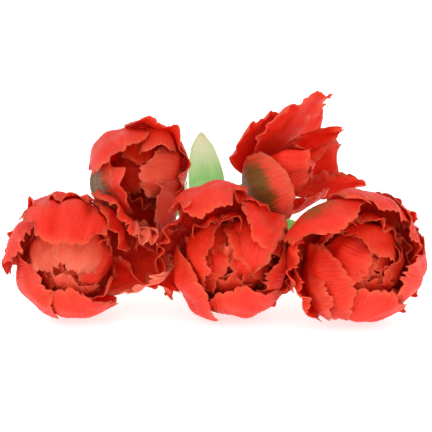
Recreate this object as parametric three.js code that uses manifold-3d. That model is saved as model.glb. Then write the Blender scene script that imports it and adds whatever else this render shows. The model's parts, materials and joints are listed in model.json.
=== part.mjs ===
// Bunch of five artificial tulips, lying on a table with the flower heads to the front.
// Millimetres, +Z up, +Y from the flower heads towards the cut ends of the stems.
// Each flower is a wire-cored stem with a ball end, a core that sits on that end and carries
// the petals, and one leaf threaded on the stem. A rubber band holds the five stems together.

import * as THREE from "three";
import { mergeVertices } from "three/addons/utils/BufferGeometryUtils.js";
import Module from "manifold-3d";

const wasm = await Module();
wasm.setup();

// The spread of the bunch
const OUTER_HEADS_X = 90; // from the middle of the bunch to the middle of its outer heads
const UPPER_HEADS_Y = 42; // how far the two upper heads lie behind the three lower ones
const CENTRE_HEIGHT = 42; // from a head's ball joint to the middle of the head, along its axis

// Clearances
const GAP = 0.3; // between pieces that touch or are glued
const COLLAR_PLAY = 0.7; // radial, between a leaf collar's corners and the stem

// Stem and wire
const STEM_RADIUS = 3;
const WIRE_RADIUS = 1;
const WIRE_END_COVER = 6; // stem left solid between the wire's upper end and the ball's centre
const STEM_SIDES = 8;
const BALL_STACKS = 6;
const WIRE_SIDES = 6;
const BORE_RADIUS = WIRE_RADIUS + GAP / Math.cos(Math.PI / WIRE_SIDES);
const STEM_STEPS = 12;
const PATH_POINTS = 60; // along a stem's curve
const CUT_END_Y = 400;
const FRONT_BEND = 0.2; // share of the free length that runs on straight from the head
const BACK_BEND = 0.35; // and from the bundle

// Bundle and rubber band
const BUNDLE_X = -10;
const BUNDLE_START_Y = 322;
const BAND_Y = 348;
const BAND_WIDTH = 7;
const BAND_THICKNESS = 1.2;
const BAND_CORNER_STEPS = 3;

// Flower core: the socket on the ball end, the shoulders that the petals are glued to, the pistil
const SOCKET_WALL = 1.8;
const SOCKET_HALF_ANGLE = 62;
const OUTER_RING = { radius: 8.5, height: 7.6 };
const INNER_RING = { radius: 6, height: 12 };
const HEART_RING = { radius: 4, height: 16 };
const SHOULDER_HEIGHT = 4;
const PISTIL_RADIUS = 2;
const PISTIL_TOP = 36;
const STIGMA_RADIUS = 3.4;
const STIGMA_LENGTH = 4; // the flare under the pistil's top
const STIGMA_TIP = 2; // the blunt point above the flare's widest ring
const STAMEN_COUNT = 6;
const STAMEN_RADIUS = 0.8;
const STAMEN_LENGTH = 17;
const STAMEN_LEAN = 14;
const ANTHER_RADIUS = 1.5;
const STAMEN_SIDES = 4;
const CORE_SIDES = 10;
const SOCKET_STEPS = 4;

// Shells
const PETAL_THICKNESS = 1.2;
const LEAF_THICKNESS = 1.3;
const PETAL_CELLS = { along: 7, across: 6 };
const LEAF_CELLS = { along: 10, across: 4 };
const LINE_STEPS = 60; // along a shell's middle line
const CURL_START = 0.72; // share of the length where an outward curl of the tip sets in
const CUP_FORMED = 0.35; // share of the length over which a blade opens out of its collar
const TIP_WAVE_POWER = 4; // how closely the ruffles keep to the tip
const SIDE_WAVE_POWER = 3; // and to the side margins
const SIDE_WAVE_SHARE = 0.7;
const SIDE_WAVE_PITCH = 0.6;
const COLLAR_LENGTH = 14;
const COLLAR_WALL = 1.3;
const COLLAR_SIDES = 12;
const COLLAR_BORE = STEM_RADIUS + COLLAR_PLAY;
const BLADE_START = 1; // height in the collar where the blade begins

// Finishes
const FINISH = {
  petal: { color: 0xd92a1c, roughness: 0.55, metalness: 0 },
  core: { color: 0x5c1c14, roughness: 0.6, metalness: 0 },
  stem: { color: 0x5f9a35, roughness: 0.5, metalness: 0 },
  leaf: { color: 0x5d9458, roughness: 0.5, metalness: 0 },
  wire: { color: 0x9a9da0, roughness: 0.35, metalness: 1 },
  band: { color: 0xc8a878, roughness: 0.7, metalness: 0 },
};

const rad = THREE.MathUtils.degToRad;
const mix = THREE.MathUtils.lerp;
const smooth = (low, high, x) => THREE.MathUtils.smoothstep(x, low, high);

// A petal's sizes, unless its own row says otherwise. Angles are degrees from the flower's axis:
// start where the petal leaves the core, end at its tip, below 0 where it curls in over the centre.
// radius is the curve along its length, so petals of one radius lie on one globe.
const OUTER = {
  ring: OUTER_RING,
  clear: PETAL_THICKNESS / 2,
  radius: 34.5,
  width: 58,
  start: 80,
  end: -62,
  cup: 36,
  claw: 0.16,
  belly: 0.6,
  taper: 0.14,
  round: 0.2,
  point: 2.6,
  tilt: 8,
  curl: 0,
  ruffle: 1.4,
  waves: 2.5,
};
const INNER = { ...OUTER, ring: INNER_RING, radius: 33, width: 48, start: 62, end: -60, cup: 23, claw: 0.2 };
const HEART = { ...INNER, ring: HEART_RING, radius: 30, width: 30, start: 40, end: -88, cup: 13 };
const LIPPED = { ...OUTER, radius: 50, width: 50, start: 54, end: -24, cup: 26, claw: 0.26, curl: 35 };
const FLARED = { ...OUTER, radius: 90, width: 44, start: 58, end: 14, cup: 24, taper: 0.88 };

// A leaf's blade, which grows out of the wall of its collar, back from the ball end along the stem
const BLADE = {
  ...OUTER,
  back: 150,
  length: 130,
  width: 28,
  ring: { radius: COLLAR_BORE + COLLAR_WALL / 2 - GAP, height: BLADE_START },
  clear: 0,
  cup: 24,
  cupStart: COLLAR_BORE + COLLAR_WALL / 2,
  claw: 0.3,
  belly: 0.4,
  taper: 0.72,
  round: 0.12,
  tilt: 0,
  ruffle: 0.8,
  waves: 1.5,
};

// The five flowers. centre is the middle of the head; yaw turns its face to the right and rise
// lifts it, in degrees. A petal's az runs anticlockwise from the right as the viewer sees it.
// A leaf's side is the direction across the stem that its blade bends to, from start to end
// degrees off the stem.
const HEADS = {
  left: {
    centre: { x: -OUTER_HEADS_X, y: 0, z: 38.6 },
    yaw: -4,
    rise: -2,
    petals: {
      outer_1: { ...OUTER, az: -13, radius: 54.5, width: 47, start: 84, end: 14, cup: 10, tilt: 42 },
      outer_2: { ...OUTER, az: 36, radius: 37.5, width: 37, start: 76.5, end: -20, cup: 30, ruffle: 2.6 },
      outer_3: { ...OUTER, az: 86, radius: 43, start: 72.5, end: -54 },
      outer_4: { ...OUTER, az: 150, radius: 36, end: -40 },
      outer_5: { ...OUTER, az: 212, radius: 33, width: 52, end: -74 },
      outer_6: { ...OUTER, az: 273, radius: 33, width: 54, end: -80 },
      inner_1: { ...INNER, az: 56, radius: 34, end: -64, tilt: 11 },
      inner_2: { ...INNER, az: 126, radius: 32.5, end: -64 },
      inner_3: { ...INNER, az: 262, radius: 31.5, width: 42, end: -74 },
    },
    leaf: { ...BLADE, side: [1, 0, -0.8], length: 138, start: 10, end: 28 },
  },
  middle: {
    centre: { x: 8, y: 2, z: 37.3 },
    yaw: 0,
    rise: 4,
    petals: {
      outer_1: {
        ...OUTER, az: -19, radius: 33, width: 49, start: 80.5, end: -52.5, taper: 0.2, tilt: 6,
        ruffle: 1.7,
      },
      outer_2: { ...OUTER, az: 44, radius: 36, width: 46.5, start: 78.5, end: -54 },
      outer_3: { ...OUTER, az: 107, radius: 51, width: 53.5, end: -40, tilt: 3.5 },
      outer_4: { ...OUTER, az: 212, radius: 33 },
      outer_5: { ...OUTER, az: 285, radius: 33, width: 54, end: -76 },
      inner_1: { ...INNER, az: 169, radius: 36, width: 58, end: -50, tilt: -5 },
      inner_3: { ...INNER, az: 35, radius: 34, width: 50, tilt: -3 },
      heart_1: { ...HEART, az: 262, end: -83 },
    },
    leaf: { ...BLADE, side: [1, 0, -0.5], start: 8, end: 26 },
  },
  right: {
    centre: { x: OUTER_HEADS_X, y: -8, z: 39 },
    yaw: 14,
    rise: 6,
    petals: {
      outer_1: { ...OUTER, az: -22, end: -70 },
      outer_2: { ...OUTER, az: 29.5, end: -40, tilt: 17 },
      outer_3: { ...OUTER, az: 76, radius: 41, start: 79, end: -36, taper: 0.3, tilt: 13 },
      outer_4: { ...OUTER, az: 130, radius: 45, width: 54, end: -38, cup: 46, tilt: 16 },
      outer_5: { ...OUTER, az: 202, radius: 32, width: 54, end: -65 },
      outer_6: { ...OUTER, az: 264, radius: 32.5, width: 54, end: -76 },
      inner_1: { ...INNER, az: 66, width: 50 },
      inner_2: { ...INNER, az: 156, end: -64 },
      inner_3: { ...INNER, az: 322, radius: 31, end: -64 },
    },
    leaf: { ...BLADE, side: [1, 0, -0.4], start: 3, end: 14 },
  },
  upper_left: {
    centre: { x: -46.5, y: UPPER_HEADS_Y + 2, z: 86.5 },
    yaw: 8,
    rise: 6,
    petals: {
      outer_1: { ...LIPPED, az: -18, radius: 38, start: 57, end: -36, tilt: 10, curl: 20 },
      outer_2: { ...LIPPED, az: 64, radius: 46, start: 56, cup: 27, curl: 45, ruffle: 2.4 },
      outer_3: { ...LIPPED, az: 133, radius: 42, width: 54, start: 64, end: -46, tilt: 15, curl: 8 },
      outer_4: {
        ...LIPPED, az: 201.5, radius: 40, width: 45.5, start: 70, end: -74, cup: 23.5, tilt: 5.5,
        curl: 60, ruffle: 2,
      },
      outer_5: {
        ...LIPPED, az: 262, radius: 51, width: 30.5, start: 66, end: -54, taper: 0.2, tilt: 9,
        curl: 90, ruffle: 3, waves: 3.5,
      },
      inner_1: { ...INNER, az: -8, radius: 37, width: 38, start: 54, end: -76 },
    },
    leaf: { ...BLADE, side: [1, 0, -0.3], start: 6, end: 22 },
  },
  upper_right: {
    centre: { x: 49, y: UPPER_HEADS_Y - 2, z: 86 },
    yaw: 42,
    rise: 22,
    petals: {
      outer_1: { ...FLARED, az: -22, radius: 86, width: 18, start: 60, end: 15, taper: 0.6, ruffle: 2.6 },
      outer_2: { ...FLARED, az: 31.5, radius: 50, width: 17, start: 62, end: -19, cup: 9, ruffle: 2 },
      outer_3: {
        ...FLARED, ring: INNER_RING, az: 86, radius: 92, width: 49.5, start: 52, end: 7.5, cup: 70,
        taper: 0.1, round: 0.04, tilt: -12, ruffle: 3, waves: 1.8,
      },
      outer_4: {
        ...FLARED, az: 108, radius: 60, width: 50, start: 62, end: 15, cup: 60, taper: 0.1,
        round: 0.04, ruffle: 2.4,
      },
      outer_5: { ...OUTER, az: 196, radius: 32, width: 50, start: 70, end: -44 },
      inner_1: { ...OUTER, az: 290, radius: 30, width: 34.5, start: 66, end: -44 },
      inner_2: { ...INNER, az: 156, radius: 37, width: 40.5, start: 54, end: -48, cup: 7, ruffle: 2.4 },
    },
    leaf: { ...BLADE, back: 165, side: [-0.15, 0, 1], length: 116, width: 30, start: 12, end: 40 },
  },
};

function solidFrom(geometry) {
  geometry.deleteAttribute("normal");
  geometry.deleteAttribute("uv");
  const merged = mergeVertices(geometry);
  return new wasm.Manifold(
    new wasm.Mesh({
      numProp: 3,
      vertProperties: new Float32Array(merged.attributes.position.array),
      triVerts: new Uint32Array(merged.index.array),
    }),
  );
}

function geometryFrom(solid) {
  const { vertProperties, triVerts } = solid.getMesh();
  const geometry = new THREE.BufferGeometry();
  geometry.setAttribute("position", new THREE.BufferAttribute(vertProperties, 3));
  geometry.setIndex(new THREE.BufferAttribute(triVerts, 1));
  geometry.computeVertexNormals();
  return geometry;
}

function named(name, geometry, finish) {
  const mesh = new THREE.Mesh(geometry, new THREE.MeshStandardMaterial(FINISH[finish]));
  mesh.name = name;
  return mesh;
}

// The line down the middle of a petal or leaf, as [distance from axis, height, angle] steps
function midline(shell) {
  const length = shell.length ?? shell.radius * rad(shell.start - shell.end);
  const points = [];
  let r = shell.ring.radius + GAP + shell.clear * Math.cos(rad(shell.start));
  let z = shell.ring.height;
  for (let i = 0; i <= LINE_STEPS; i++) {
    const s = i / LINE_STEPS;
    const angle = rad(mix(shell.start, shell.end, s) + shell.curl * smooth(CURL_START, 1, s));
    points.push([r, z, angle]);
    r += (Math.sin(angle) * length) / LINE_STEPS;
    z += (Math.cos(angle) * length) / LINE_STEPS;
  }
  return points;
}

// The middle surface of a petal or leaf: u runs from claw to tip, and v from -1 at one margin
// to 1 at the other. Both ends and both margins carry ruffles.
function shellPoint(shell, line, u, v) {
  const reach = 1 - shell.round * Math.abs(v) ** shell.point;
  const s = u * reach;
  const at = s * (line.length - 1);
  const i = Math.min(Math.floor(at), line.length - 2);
  const [r, z, angle] = [0, 1, 2].map((k) => mix(line[i][k], line[i + 1][k], at - i));
  const middle = new THREE.Vector3(r, 0, z);
  const tilt = rad(shell.tilt);
  const inward = new THREE.Vector3(-Math.cos(angle), 0, Math.sin(angle));
  const across = new THREE.Vector3(0, Math.cos(tilt), 0).addScaledVector(inward, -Math.sin(tilt));
  const normal = inward.multiplyScalar(Math.cos(tilt)).add(new THREE.Vector3(0, Math.sin(tilt), 0));
  const swell = shell.claw + (1 - shell.claw) * Math.sin((Math.PI / 2) * Math.min(1, s / shell.belly));
  const late = Math.max(0, (s - shell.belly) / (1 - shell.belly));
  const half = (shell.width / 2) * swell * (1 - shell.taper * late * late);
  const cup = mix(shell.cupStart ?? shell.cup, shell.cup, smooth(0, CUP_FORMED, s));
  const bend = (v * half) / cup;
  const tipWave = u ** TIP_WAVE_POWER * Math.sin(Math.PI * shell.waves * v);
  const sideTurns = 2 * Math.PI * shell.waves * SIDE_WAVE_PITCH * u;
  const sideWave = Math.abs(v) ** SIDE_WAVE_POWER * u * Math.sin(sideTurns + v);
  const rise = cup * (1 - Math.cos(bend)) + shell.ruffle * (tipWave + SIDE_WAVE_SHARE * sideWave);
  return middle.addScaledVector(across, cup * Math.sin(bend)).addScaledVector(normal, rise);
}

// A closed sheet of even thickness on that middle surface
function shellGeometry(shell, cells, thickness) {
  const line = midline(shell);
  const STEP = 1e-3;
  const positions = [];
  const faces = [];
  const columns = cells.across + 1;
  const side = columns * (cells.along + 1);
  for (const offset of [thickness / 2, -thickness / 2]) {
    for (let i = 0; i <= cells.along; i++) {
      for (let j = 0; j < columns; j++) {
        const u = i / cells.along;
        const v = -1 + (2 * j) / cells.across;
        const point = shellPoint(shell, line, u, v);
        const du = shellPoint(shell, line, u + (u < 0.5 ? STEP : -STEP), v).sub(point);
        const dv = shellPoint(shell, line, u, v + (v < 0 ? STEP : -STEP)).sub(point);
        const normal = du.cross(dv).normalize();
        const sign = (u < 0.5 ? 1 : -1) * (v < 0 ? 1 : -1);
        positions.push(...point.addScaledVector(normal, sign * offset));
      }
    }
  }
  const quad = (a, b, c, d) => faces.push(a, b, c, a, c, d);
  for (let i = 0; i < cells.along; i++) {
    for (let j = 0; j < cells.across; j++) {
      const a = i * columns + j;
      quad(a, a + columns, a + columns + 1, a + 1);
      quad(side + a, side + a + 1, side + a + columns + 1, side + a + columns);
    }
  }
  const rim = [];
  for (let j = 0; j < cells.across; j++) rim.push(j);
  for (let i = 0; i < cells.along; i++) rim.push(i * columns + cells.across);
  for (let j = cells.across; j > 0; j--) rim.push(cells.along * columns + j);
  for (let i = cells.along; i > 0; i--) rim.push(i * columns);
  rim.forEach((a, k) => {
    const b = rim[(k + 1) % rim.length];
    quad(a, b, side + b, side + a);
  });
  const geometry = new THREE.BufferGeometry();
  geometry.setAttribute("position", new THREE.Float32BufferAttribute(positions, 3));
  geometry.setIndex(faces);
  geometry.computeVertexNormals();
  return geometry;
}

// The core turned about the flower's axis, with its origin at the centre of the stem's ball end
function coreSolid() {
  const socket = (STEM_RADIUS + GAP) / Math.cos(Math.PI / CORE_SIDES);
  const lip = rad(SOCKET_HALF_ANGLE);
  const profile = [];
  for (let i = 0; i <= SOCKET_STEPS; i++) {
    const polar = (lip * i) / SOCKET_STEPS;
    profile.push([socket * Math.sin(polar), socket * Math.cos(polar)]);
  }
  profile.push([(socket + SOCKET_WALL) * Math.sin(lip), (socket + SOCKET_WALL) * Math.cos(lip)]);
  for (const ring of [OUTER_RING, INNER_RING, HEART_RING]) {
    profile.push([ring.radius, ring.height - SHOULDER_HEIGHT / 2]);
    profile.push([ring.radius, ring.height + SHOULDER_HEIGHT / 2]);
  }
  profile.push([PISTIL_RADIUS, HEART_RING.height + SHOULDER_HEIGHT]);
  profile.push([PISTIL_RADIUS, PISTIL_TOP - STIGMA_LENGTH]);
  profile.push([STIGMA_RADIUS, PISTIL_TOP - STIGMA_TIP]);
  profile.push([0, PISTIL_TOP]);
  const points = profile.map(([x, y]) => new THREE.Vector2(x, y));
  const turned = new THREE.LatheGeometry(points, CORE_SIDES).rotateX(Math.PI / 2);
  let solid = solidFrom(turned);
  for (let i = 0; i < STAMEN_COUNT; i++) {
    const sizes = [ANTHER_RADIUS, STAMEN_RADIUS, STAMEN_LENGTH, STAMEN_SIDES];
    const stamen = new THREE.CylinderGeometry(...sizes).rotateX(Math.PI / 2);
    stamen.translate(0, 0, STAMEN_LENGTH / 2).rotateY(rad(STAMEN_LEAN));
    stamen.translate(HEART_RING.radius - STAMEN_RADIUS, 0, HEART_RING.height);
    stamen.rotateZ((2 * Math.PI * (i + 0.5)) / STAMEN_COUNT);
    solid = solid.add(solidFrom(stamen));
  }
  return solid;
}

function circle(radius) {
  return new THREE.Shape().absarc(0, 0, radius, 0, 2 * Math.PI);
}

function tube(path, radius, sides, steps) {
  const options = { extrudePath: path, steps, curveSegments: sides / 2, bevelEnabled: false };
  return new THREE.ExtrudeGeometry(circle(radius), options);
}

function facing(head) {
  const yaw = rad(head.yaw);
  const rise = rad(head.rise);
  const level = new THREE.Vector3(Math.sin(yaw), -Math.cos(yaw), 0);
  return level.multiplyScalar(Math.cos(rise)).setZ(Math.sin(rise));
}

// Where each stem lies in the tied bundle: three below, two above
const PITCH = 2 * STEM_RADIUS + GAP;
const FLOOR_SLOT_Z = BAND_THICKNESS + GAP + STEM_RADIUS;
const UPPER_SLOT_Z = FLOOR_SLOT_Z + (PITCH * Math.sqrt(3)) / 2;
const SLOTS = {
  left: [BUNDLE_X - PITCH, FLOOR_SLOT_Z],
  middle: [BUNDLE_X, FLOOR_SLOT_Z],
  right: [BUNDLE_X + PITCH, FLOOR_SLOT_Z],
  upper_left: [BUNDLE_X - PITCH / 2, UPPER_SLOT_Z],
  upper_right: [BUNDLE_X + PITCH / 2, UPPER_SLOT_Z],
};

// The centre of the stem's ball end
function pivotOf(head) {
  const { x, y, z } = head.centre;
  return new THREE.Vector3(x, y, z).addScaledVector(facing(head), -CENTRE_HEIGHT);
}

// The stem's curve, from a distance behind the ball end to the cut end
function stemPath(name, from) {
  const axis = facing(HEADS[name]);
  const pivot = pivotOf(HEADS[name]);
  const [x, z] = SLOTS[name];
  const bundle = new THREE.Vector3(x, BUNDLE_START_Y, z);
  const reach = BUNDLE_START_Y - pivot.y;
  const free = new THREE.CubicBezierCurve3(
    pivot,
    pivot.clone().addScaledVector(axis, -reach * FRONT_BEND),
    bundle.clone().add(new THREE.Vector3(0, -reach * BACK_BEND, 0)),
    bundle,
  );
  const path = new THREE.CurvePath();
  path.add(free);
  path.add(new THREE.LineCurve3(bundle, new THREE.Vector3(x, CUT_END_Y, z)));
  const length = path.getLength();
  const points = [];
  for (let i = 0; i <= PATH_POINTS; i++) {
    points.push(path.getPointAt(mix(from / length, 1, i / PATH_POINTS)));
  }
  return new THREE.CatmullRomCurve3(points);
}

// A leaf: a collar round the stem with the blade growing from it
function leafMesh(name, leaf, path) {
  const place = leaf.back / path.getLength();
  const forward = path.getTangentAt(place).negate();
  const side = new THREE.Vector3(...leaf.side);
  side.addScaledVector(forward, -side.dot(forward)).normalize();
  const across = forward.clone().cross(side);
  const options = { depth: COLLAR_LENGTH, curveSegments: COLLAR_SIDES / 2, bevelEnabled: false };
  const collar = new THREE.ExtrudeGeometry(circle(COLLAR_BORE + COLLAR_WALL), options);
  const holeLength = 4 * COLLAR_LENGTH;
  const hole = new THREE.CylinderGeometry(COLLAR_BORE, COLLAR_BORE, holeLength, COLLAR_SIDES);
  const solid = solidFrom(collar)
    .add(solidFrom(shellGeometry(leaf, LEAF_CELLS, LEAF_THICKNESS)))
    .subtract(solidFrom(hole.rotateX(Math.PI / 2)));
  const mesh = named(name, geometryFrom(solid), "leaf");
  mesh.position.copy(path.getPointAt(place));
  mesh.setRotationFromMatrix(new THREE.Matrix4().makeBasis(side, across, forward));
  return mesh;
}

const root = new THREE.Group();
const core = geometryFrom(coreSolid());

for (const [name, head] of Object.entries(HEADS)) {
  const axis = facing(head);
  const right = new THREE.Vector3(0, 0, 1).cross(axis).normalize();
  const up = axis.clone().cross(right);
  const flower = new THREE.Group();
  flower.position.copy(pivotOf(head));
  flower.setRotationFromMatrix(new THREE.Matrix4().makeBasis(right, up, axis));
  root.add(flower);
  flower.add(named(`${name}_core`, core.clone(), "core"));
  for (const [petalName, petal] of Object.entries(head.petals)) {
    const geometry = shellGeometry(petal, PETAL_CELLS, PETAL_THICKNESS);
    const mesh = named(`${name}_petal_${petalName}`, geometry, "petal");
    mesh.rotation.z = rad(petal.az);
    flower.add(mesh);
  }

  const path = stemPath(name, 0);
  const bore = tube(stemPath(name, WIRE_END_COVER), BORE_RADIUS, WIRE_SIDES, STEM_STEPS);
  const ball = new THREE.SphereGeometry(STEM_RADIUS, STEM_SIDES, BALL_STACKS);
  ball.rotateX(Math.PI / 2).applyQuaternion(flower.quaternion).translate(...flower.position);
  const sleeve = solidFrom(tube(path, STEM_RADIUS, STEM_SIDES, STEM_STEPS))
    .add(solidFrom(ball))
    .subtract(solidFrom(bore));
  root.add(named(`${name}_stem`, geometryFrom(sleeve), "stem"));
  const wire = tube(stemPath(name, WIRE_END_COVER + GAP), WIRE_RADIUS, WIRE_SIDES, STEM_STEPS);
  root.add(named(`${name}_wire`, wire, "wire"));
  root.add(leafMesh(`${name}_leaf`, head.leaf, path));
}

// The rubber band: the outline round the five stems, as a flat ring
function bandOutline(offset, Kind) {
  const radius = STEM_RADIUS + GAP + offset;
  const outline = new Kind();
  const corner = (slot, from, to) => outline.absarc(slot[0], slot[1], radius, rad(from), rad(to));
  corner(SLOTS.right, -90, 30);
  corner(SLOTS.upper_right, 30, 90);
  corner(SLOTS.upper_left, 90, 150);
  corner(SLOTS.left, 150, 270);
  return outline;
}
const bandShape = bandOutline(BAND_THICKNESS, THREE.Shape);
bandShape.holes.push(bandOutline(0, THREE.Path));
const bandOptions = { depth: BAND_WIDTH, curveSegments: BAND_CORNER_STEPS, bevelEnabled: false };
const band = new THREE.ExtrudeGeometry(bandShape, bandOptions);
band.rotateX(Math.PI / 2).translate(0, BAND_Y + BAND_WIDTH, 0);
root.add(named("rubber_band", band, "band"));

// The part's origin is the middle of the underside of its own box
const box = new THREE.Box3().setFromObject(root, true);
const middle = box.getCenter(new THREE.Vector3());
root.position.set(-middle.x, -middle.y, -box.min.z);
const part = new THREE.Group();
part.add(root);

export default part;
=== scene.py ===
import json
import math

import bmesh
import bpy
import numpy as np
from mathutils import Matrix, Vector


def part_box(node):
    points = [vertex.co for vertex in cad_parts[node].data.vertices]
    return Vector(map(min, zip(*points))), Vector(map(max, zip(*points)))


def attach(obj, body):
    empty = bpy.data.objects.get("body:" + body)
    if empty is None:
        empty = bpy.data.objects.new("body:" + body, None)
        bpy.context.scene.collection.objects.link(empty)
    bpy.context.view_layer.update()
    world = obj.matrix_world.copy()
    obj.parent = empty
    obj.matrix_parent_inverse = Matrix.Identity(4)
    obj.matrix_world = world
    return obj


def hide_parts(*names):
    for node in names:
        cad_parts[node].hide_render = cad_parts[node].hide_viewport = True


# A bunch of five artificial tulips with fringed, ruffled petals. Metres in Blender; the petals and
# leaves are worked out in millimetres, in their flower's own frame, and placed by the joints.

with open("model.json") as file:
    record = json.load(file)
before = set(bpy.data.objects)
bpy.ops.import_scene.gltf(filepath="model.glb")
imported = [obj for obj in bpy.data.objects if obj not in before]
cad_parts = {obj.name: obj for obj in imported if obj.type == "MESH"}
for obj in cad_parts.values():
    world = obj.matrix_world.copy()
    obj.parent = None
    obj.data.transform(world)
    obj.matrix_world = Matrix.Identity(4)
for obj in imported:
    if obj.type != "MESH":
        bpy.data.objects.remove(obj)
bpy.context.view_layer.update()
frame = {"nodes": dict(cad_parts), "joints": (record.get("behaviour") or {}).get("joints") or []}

MM = 0.001

# View and stage
VIEW_HEIGHT = 66  # above the table, in the middle of the heads
VIEW_DISTANCE = 0.7
VIEW_PITCH = 14
SENSOR_WIDTH = 36
LENS = 94.08
CLIP_NEAR = 0.01
CLIP_FAR = 50
FLOOR_HALF = 6.0
SKY_STRENGTH = 1.12
BACKDROP_STRENGTH = 1.0
FLOOR_GLOW = 0.6

# Sheets
PETAL_THICKNESS = 0.85
LEAF_THICKNESS = 1.0
MARGIN_THICKNESS = 0.4
MARGIN_THINNING = 0.7
CELL = 0.62  # mesh spacing
CLAW_SHARE = 0.3  # of the length, where the rows lie further apart
CLAW_CELLS = 2.2
LINE_STEPS = 60
CURL_START = 0.72
CUP_FORMED = 0.35
TIP_WAVE_POWER = 4
SIDE_WAVE_POWER = 3
SIDE_WAVE_SHARE = 0.7
SIDE_WAVE_PITCH = 0.6

# Margins: lobes, teeth and strands
NOTCHES = 90
NOTCH_WIDTHS = (0.55, 1.45)
NOTCH_DEPTHS = (0.45, 1.3)
LOBE_SHARPNESS = 2.4
LOBE_SETBACK = 0.6
TOOTH_WIDTH = 1.7
TOOTH_SHARPNESS = 1.2
STRAND_LENGTHS = (0.5, 1)
STRAND_WIDTHS = (0.7, 1.1)
TIP_SPAN = 0.4  # strands keep within this share of the width, or of the length, either way
SIDE_SPAN = 0.8

# Relief
EDGE_BLEND = 2.5
EDGE_REACH = 7
FRILL_WAVES = (9, 14, 23)
FRILL_HEIGHTS = (0.6, 1.2)
DENT_SIZES = (34, 22, 13)
PHASES = (0, 6.28)
RIB_PITCH = 3.1
RIB_HEIGHT = 0.09
CREASES = ((0.25, 6), (-0.4, 7))  # place across and narrowness
CREASE_DEPTH = 1.6
PUFF_DEPTH = 2.2

# Stem and core
GAP = 0.3
SHEET_CLEAR = 0.6  # half the thickness of a solid petal, which its line keeps to the core
STEM_RADIUS = 3
STEM_SIDES = 24
STEM_RIB = 0.05
BUNDLE_START_Y = 322
CUT_END_Y = 400
FRONT_BEND = 0.2
BACK_BEND = 0.35
BEND_POINTS = 400
PATH_POINTS = 220
BALL_STEPS = 8
WIRE_BORE = 1.35
BORE_DEPTH = 14
OUTER_RING = (8.5, 7.6)
INNER_RING = (6, 12)
HEART_RING = (4, 16)
SOCKET_RADIUS = 3.5
LIP_ANGLE = 62
LIP_STEPS = 10
CORE_SIDES = 36
CORE_OUTLINE = (  # distance from the axis and height, past the socket's lip
    (4.4, 2.0), (4.9, 2.4), (7.4, 3.4), (10.2, 5.6), (11.4, 7.4), (11.2, 7.9), (8.5, 7.6), (8.1, 9.6),
    (6.5, 10.2), (6.0, 11.0), (6.0, 13.2), (5.6, 14.0), (4.3, 14.4), (4.0, 15.2), (3.9, 17.2), (3.3, 18.2),
    (2.3, 19.2), (2.2, 24.0), (2.4, 29.0), (2.9, 32.0), (3.5, 33.6), (3.2, 35.2), (1.8, 36.0), (0.3, 35.7),
)
PISTIL_LOBE = 0.16
STAMENS = 6
STAMEN_STEPS = 24
STAMEN_SIDES = 10
FILAMENT_SHARE = 0.55
ANTHER_SHARE = 0.45

# Collar and band
COLLAR_BORE = 3.7
COLLAR_WALL = 1.3
COLLAR_LENGTH = 14
COLLAR_SIDES = 48
BAND_Y = 348
BAND_WIDTH = 7
BAND_THICKNESS = 1.2
BAND_EDGE = 0.35
BAND_GROOVE_HALF = 1.2
BAND_GROOVE_DEPTH = 0.12
BAND_CORNER_STEPS = 16

SEED_BASE = 10  # each petal has the next seed, and each leaf its head's last one and LEAF_SEED
LEAF_SEED = 100
TONE_STEP = 3.7

# Petal kinds. Lengths are millimetres and angles degrees from the flower's axis: start where the
# petal leaves the core, end at its tip. Petals of one radius lie on one globe. cup is the radius
# across, claw the share of the width at the foot, belly the share of the length at which the petal
# is widest, and taper what it loses again by the tip. lobe, tooth and strand shape the margin, flame
# is the olive on the back, and pale sets the painted highlight towards the tip, which lightens petals
# that lie in shade.
OUTER = dict(
    ring=OUTER_RING, clear=SHEET_CLEAR, radius=34.5, width=58, start=80, end=-62, cup=36, cup_start=11,
    claw=0.26, belly=0.6, taper=0.14, round=0.2, point=2.6, tilt=8, curl=0, ruffle=1.4, waves=2.5,
    lobe=6.5, lobe_depth=2, tooth=1, strands=0, strand=5, frill=1.2, dent=1, roll=0.3, crease=0, puff=0,
    flame=0, painted_tip_light=0.08,
)
INNER = dict(OUTER, ring=INNER_RING, radius=33, width=48, start=62, end=-60, cup=23, cup_start=8)
HEART = dict(INNER, ring=HEART_RING, radius=30, width=30, start=40, end=-88, cup=13, tooth=1.1)
LOBED = dict(INNER, puff=1.6, tooth=1.9, lobe=5, lobe_depth=2.2, strands=5, strand=3)
RUFFLE = dict(INNER, radius=29, width=34, end=-76, cup=18, frill=1.3, lobe_depth=2.4, painted_tip_light=0.1)
FRILL = dict(
    INNER, radius=33, width=40, start=70, end=-28, cup=20, ruffle=2.4, waves=3, frill=2, lobe_depth=2.6,
    tooth=1.6, painted_tip_light=0.2,
)
FRINGE = dict(
    OUTER, radius=36, width=44, start=84, end=-10, tilt=4, ruffle=2, waves=3, frill=2, lobe_depth=2.6,
    tooth=1.8, strands=7, strand=6, flame=0.5,
)
LIPPED = dict(OUTER, radius=50, width=50, start=54, end=-24, cup=26, claw=0.36, curl=35)
FLARED = dict(OUTER, radius=90, width=44, start=58, end=14, cup=24, taper=0.88, claw=0.34)
BLADE = dict(
    OUTER, back=150, length=130, width=28, ring=(COLLAR_BORE + COLLAR_WALL / 2 - GAP, 1), clear=0, cup=24,
    cup_start=COLLAR_BORE + COLLAR_WALL / 2, claw=0.3, belly=0.4, taper=0.72, round=0.12, tilt=0,
    ruffle=0.8, waves=1.5, lobe_depth=0, tooth=0, frill=0, dent=0.3, roll=0,
)

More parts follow.
